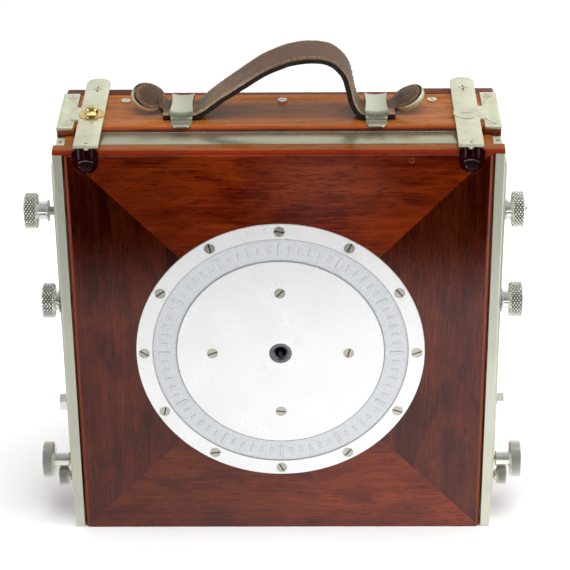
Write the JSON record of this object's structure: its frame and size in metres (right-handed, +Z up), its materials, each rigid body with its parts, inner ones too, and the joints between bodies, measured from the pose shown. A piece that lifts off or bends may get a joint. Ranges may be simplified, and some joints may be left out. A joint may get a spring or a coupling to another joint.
{
  "type": "large format view camera",
  "caption": "Folding-bed wooden field view camera, folded flat: mitred bed with round tripod plate, side clamp knobs, spring latches, strap handle, bellows and ground-glass back.",
  "frame": {"origin": "on the underside of the rear standard's box, on the centre line", "axes": "+Z up with the folded camera standing on its base, -Y out of the bed's face with the tripod plate, +X to the right seen from that face"},
  "size_m": [0.3545, 0.1171, 0.3542],
  "materials": {
    "mahogany_face": "varnished mahogany, gloss",
    "mahogany_dark": "varnished mahogany, dark ribbon grain, gloss",
    "mahogany_box": "varnished mahogany, orange-brown, satin gloss",
    "nickel_silver": "brushed nickel silver, lightly tarnished",
    "machined_aluminium": "turned, bright satin",
    "knurled_nickel": "bright nickel plate",
    "screw_steel": "slotted, lightly worn",
    "bush_steel": "dark machined steel",
    "brass": "polished brass",
    "brass_dull": "dull lacquered brass",
    "strap_leather": "worn brown leather",
    "bellows_cloth": "matte black bellows leather",
    "lens_black": "black enamel",
    "lens_glass": "coated, clear",
    "ground_glass": "finely ground, matte"
  },
  "bodies": {
    "rear_standard": {"box_top": "mahogany_box", "box_bottom": "mahogany_box", "box_side_left": "mahogany_box", "box_side_right": "mahogany_box", "box_sill": "mahogany_dark", "hinge_leaf_and_pins": "brass_dull", "latch_plates": "nickel_silver", "latch_stud_left": "brass", "box_screws": "screw_steel", "handle_loops": "nickel_silver", "bellows": "bellows_cloth"},
    "bed": {"bed_rail_top": "mahogany_face", "bed_rail_bottom": "mahogany_face", "bed_stile_left": "mahogany_dark", "bed_stile_right": "mahogany_dark", "side_rail_left": "nickel_silver", "side_rail_right": "nickel_silver", "tripod_ring": "machined_aluminium", "tripod_disc": "machined_aluminium", "tripod_bush": "bush_steel", "ring_screws": "screw_steel", "disc_screws": "screw_steel", "bed_hinge_leaves": "brass_dull", "track_guides": "brass_dull", "focus_bearings": "brass_dull", "corner_brackets": "nickel_silver"},
    "front_track": {"track_plate": "brass_dull", "standard_bracket": "nickel_silver"},
    "focus_pinion": {"focus_shaft": "brass", "focus_knob_left": "knurled_nickel", "focus_knob_right": "knurled_nickel"},
    "track_lock_left": {"track_lock_knob_left": "knurled_nickel"},
    "track_lock_right": {"track_lock_knob_right": "knurled_nickel"},
    "front_standard": {"standard_frame": "nickel_silver", "front_board": "mahogany_box", "panel_guides": "mahogany_dark", "upright_left": "nickel_silver", "upright_right": "nickel_silver", "clamp_studs": "brass", "upright_nuts": "knurled_nickel"},
    "rise_clamp_left": {"rise_knob_left": "knurled_nickel"},
    "rise_clamp_right": {"rise_knob_right": "knurled_nickel"},
    "tilt_clamp_left": {"tilt_knob_left": "knurled_nickel"},
    "tilt_clamp_right": {"tilt_knob_right": "knurled_nickel"},
    "lens_panel": {"rise_panel": "mahogany_face", "lens_board": "mahogany_box", "lens_board_clip": "brass", "lens_barrel": "lens_black", "lens_elements": "lens_glass"},
    "lens_catch": {"lens_board_catch": "brass"},
    "iris_ring": {"aperture_ring": "brass"},
    "latch_left": {"latch_finger_left": "nickel_silver"},
    "latch_right": {"latch_finger_right": "nickel_silver"},
    "back_latch_left": {"back_catch_left": "nickel_silver"},
    "back_latch_right": {"back_catch_right": "nickel_silver"},
    "handle": {"handle_strap": "strap_leather"},
    "spring_back": {"spring_back_frame": "mahogany_face"},
    "focus_screen": {"ground_glass_frame": "mahogany_box", "ground_glass": "ground_glass", "bow_springs": "nickel_silver"}
  },
  "joints": [
    {"name": "bed_fold", "type": "hinge", "parent": "rear_standard", "child": "bed", "pos_m": [0, -0.049, 0.003], "axis": [1, 0, 0], "range_deg": [0, 90]},
    {"name": "standard_slide", "type": "slide", "parent": "rear_standard", "child": "front_standard", "axis": [0, -1, 0], "range_m": [0, 0.11]},
    {"name": "track_slide", "type": "slide", "parent": "bed", "child": "front_track", "axis": [0, 0, 1], "range_m": [0, 0.033]},
    {"name": "focus_spin", "type": "hinge", "parent": "bed", "child": "focus_pinion", "pos_m": [0, -0.036, 0.044], "axis": [1, 0, 0], "range_deg": [-237, 0]},
    {"name": "track_lock_left_spin", "type": "hinge", "parent": "bed", "child": "track_lock_left", "pos_m": [-0.162, -0.038, 0.031], "axis": [1, 0, 0], "continuous": true},
    {"name": "track_lock_right_spin", "type": "hinge", "parent": "bed", "child": "track_lock_right", "pos_m": [0.162, -0.038, 0.031], "axis": [1, 0, 0], "continuous": true},
    {"name": "rise_clamp_left_spin", "type": "hinge", "parent": "front_standard", "child": "rise_clamp_left", "pos_m": [-0.17, -0.0395, 0.251], "axis": [1, 0, 0], "continuous": true},
    {"name": "rise_clamp_right_spin", "type": "hinge", "parent": "front_standard", "child": "rise_clamp_right", "pos_m": [0.164, -0.0395, 0.251], "axis": [1, 0, 0], "continuous": true},
    {"name": "tilt_clamp_left_spin", "type": "hinge", "parent": "front_standard", "child": "tilt_clamp_left", "pos_m": [-0.163, -0.0395, 0.18], "axis": [1, 0, 0], "continuous": true},
    {"name": "tilt_clamp_right_spin", "type": "hinge", "parent": "front_standard", "child": "tilt_clamp_right", "pos_m": [0.165, -0.0395, 0.18], "axis": [1, 0, 0], "continuous": true},
    {"name": "lens_rise", "type": "slide", "parent": "front_standard", "child": "lens_panel", "axis": [0, 0, 1], "range_m": [0, 0.045]},
    {"name": "lens_catch_slide", "type": "slide", "parent": "lens_panel", "child": "lens_catch", "axis": [0, 0, 1], "range_m": [0, 0.006]},
    {"name": "iris_turn", "type": "hinge", "parent": "lens_panel", "child": "iris_ring", "pos_m": [0, -0.0385, 0.166], "axis": [0, 1, 0], "range_deg": [-60, 60]},
    {"name": "latch_left_flex", "type": "hinge", "parent": "rear_standard", "child": "latch_left", "pos_m": [-0.12925, -0.02015, 0.3091], "axis": [-1, 0, 0], "range_deg": [0, 7]},
    {"name": "latch_right_flex", "type": "hinge", "parent": "rear_standard", "child": "latch_right", "pos_m": [0.12925, -0.02015, 0.3091], "axis": [-1, 0, 0], "range_deg": [0, 7]},
    {"name": "back_latch_left_flex", "type": "hinge", "parent": "rear_standard", "child": "back_latch_left", "pos_m": [-0.12925, 0.00415, 0.3091], "axis": [1, 0, 0], "range_deg": [0, 7]},
    {"name": "back_latch_right_flex", "type": "hinge", "parent": "rear_standard", "child": "back_latch_right", "pos_m": [0.12925, 0.00415, 0.3091], "axis": [1, 0, 0], "range_deg": [0, 7]},
    {"name": "handle_shift", "type": "slide", "parent": "rear_standard", "child": "handle", "axis": [1, 0, 0], "range_m": [-0.0015, 0.0015]},
    {"name": "back_lift_off", "type": "slide", "parent": "rear_standard", "child": "spring_back", "axis": [0, 1, 0], "range_m": [0, 0.04]},
    {"name": "screen_spring", "type": "slide", "parent": "spring_back", "child": "focus_screen", "axis": [0, 1, 0], "range_m": [0, 0.014]}
  ],
  "couplings": [
    {"joint": "standard_slide", "follows": "bed_fold", "m_per_rad": 0.07},
    {"joint": "track_slide", "follows": "bed_fold", "m_per_rad": 0.021},
    {"joint": "focus_spin", "follows": "bed_fold", "ratio": -2.625}
  ]
}
